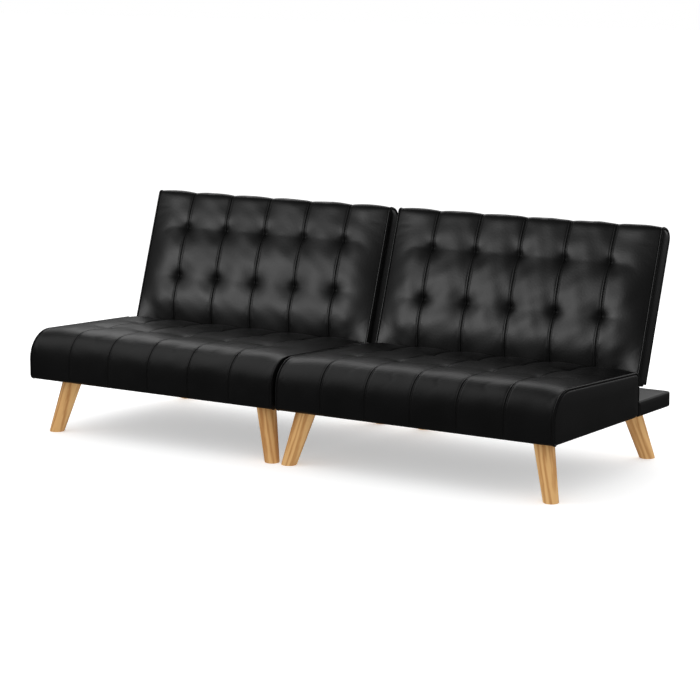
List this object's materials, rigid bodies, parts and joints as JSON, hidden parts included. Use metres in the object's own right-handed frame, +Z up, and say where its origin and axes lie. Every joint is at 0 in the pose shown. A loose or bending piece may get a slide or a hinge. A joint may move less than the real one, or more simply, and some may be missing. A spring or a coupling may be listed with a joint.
{
  "type": "futon sofa bed",
  "caption": "Armless split-back futon sofa bed: two tufted faux-leather modules on splayed wooden legs, each with a back that reclines flat.",
  "frame": {"origin": "on the floor, between the two modules, at the middle of the overall depth", "axes": "+X along the sofa to its right-hand end as the picture's camera sees it, +Y from the seat's front to the back, +Z up"},
  "size_m": [1.992, 0.7797, 0.7463],
  "materials": {
    "leather": "satin faux leather, fine grain",
    "piping": "satin faux leather over cord",
    "buttons": "satin faux leather over a button",
    "leg_wood": "light natural wood, satin lacquer",
    "frame_wood": "sawn pine",
    "plywood": "plywood",
    "foam": "upholstery foam",
    "lining": "non-woven dust cover",
    "steel": "black zinc-plated steel"
  },
  "bodies": {
    "left_base": {"left_base_side_rails": "frame_wood", "left_base_cross_rails": "frame_wood", "left_corner_blocks": "frame_wood", "left_seat_deck": "plywood", "left_ledge_board": "plywood", "left_seat_foam": "foam", "left_seat_cover": "leather", "left_seat_piping": "piping", "left_seat_buttons": "buttons", "left_ledge_cover": "leather", "left_dust_cover": "lining", "left_front_left_leg": "leg_wood", "left_front_right_leg": "leg_wood", "left_rear_left_leg": "leg_wood", "left_rear_right_leg": "leg_wood", "left_leg_plates": "steel", "left_leg_plate_screws": "steel", "left_hinge_seat_plates": "steel", "left_hinge_pins": "steel", "left_hinge_plate_screws": "steel"},
    "left_back": {"left_hinge_arms": "steel", "left_hinge_arm_screws": "steel", "left_back_stiles": "frame_wood", "left_back_rails": "frame_wood", "left_back_foam": "foam", "left_back_cover": "leather", "left_back_piping": "piping", "left_back_buttons": "buttons"},
    "left_pawl": {"left_hinge_pawls": "steel"},
    "right_base": {"right_base_side_rails": "frame_wood", "right_base_cross_rails": "frame_wood", "right_corner_blocks": "frame_wood", "right_seat_deck": "plywood", "right_ledge_board": "plywood", "right_seat_foam": "foam", "right_seat_cover": "leather", "right_seat_piping": "piping", "right_seat_buttons": "buttons", "right_ledge_cover": "leather", "right_dust_cover": "lining", "right_front_left_leg": "leg_wood", "right_front_right_leg": "leg_wood", "right_rear_left_leg": "leg_wood", "right_rear_right_leg": "leg_wood", "right_leg_plates": "steel", "right_leg_plate_screws": "steel", "right_hinge_seat_plates": "steel", "right_hinge_pins": "steel", "right_hinge_plate_screws": "steel"},
    "right_back": {"right_hinge_arms": "steel", "right_hinge_arm_screws": "steel", "right_back_stiles": "frame_wood", "right_back_rails": "frame_wood", "right_back_foam": "foam", "right_back_cover": "leather", "right_back_piping": "piping", "right_back_buttons": "buttons"},
    "right_pawl": {"right_hinge_pawls": "steel"}
  },
  "joints": [
    {"name": "left_module_slide", "type": "slide", "parent": "right_base", "child": "left_base", "axis": [-1, 0, 0], "range_m": [0, 0.6]},
    {"name": "left_back_recline", "type": "hinge", "parent": "left_base", "child": "left_back", "pos_m": [-0.501, 0.20225, 0.27], "axis": [-1, 0, 0], "range_deg": [-10, 72]},
    {"name": "left_pawl_lift", "type": "hinge", "parent": "left_base", "child": "left_pawl", "pos_m": [-0.501, 0.22625, 0.238], "axis": [1, 0, 0], "range_deg": [0, 12], "stiffness_Nm_per_rad": 0.2, "springref_deg": -5.73},
    {"name": "right_back_recline", "type": "hinge", "parent": "right_base", "child": "right_back", "pos_m": [0.501, 0.20225, 0.27], "axis": [-1, 0, 0], "range_deg": [-10, 72]},
    {"name": "right_pawl_lift", "type": "hinge", "parent": "right_base", "child": "right_pawl", "pos_m": [0.501, 0.22625, 0.238], "axis": [1, 0, 0], "range_deg": [0, 12], "stiffness_Nm_per_rad": 0.2, "springref_deg": -5.73}
  ]
}
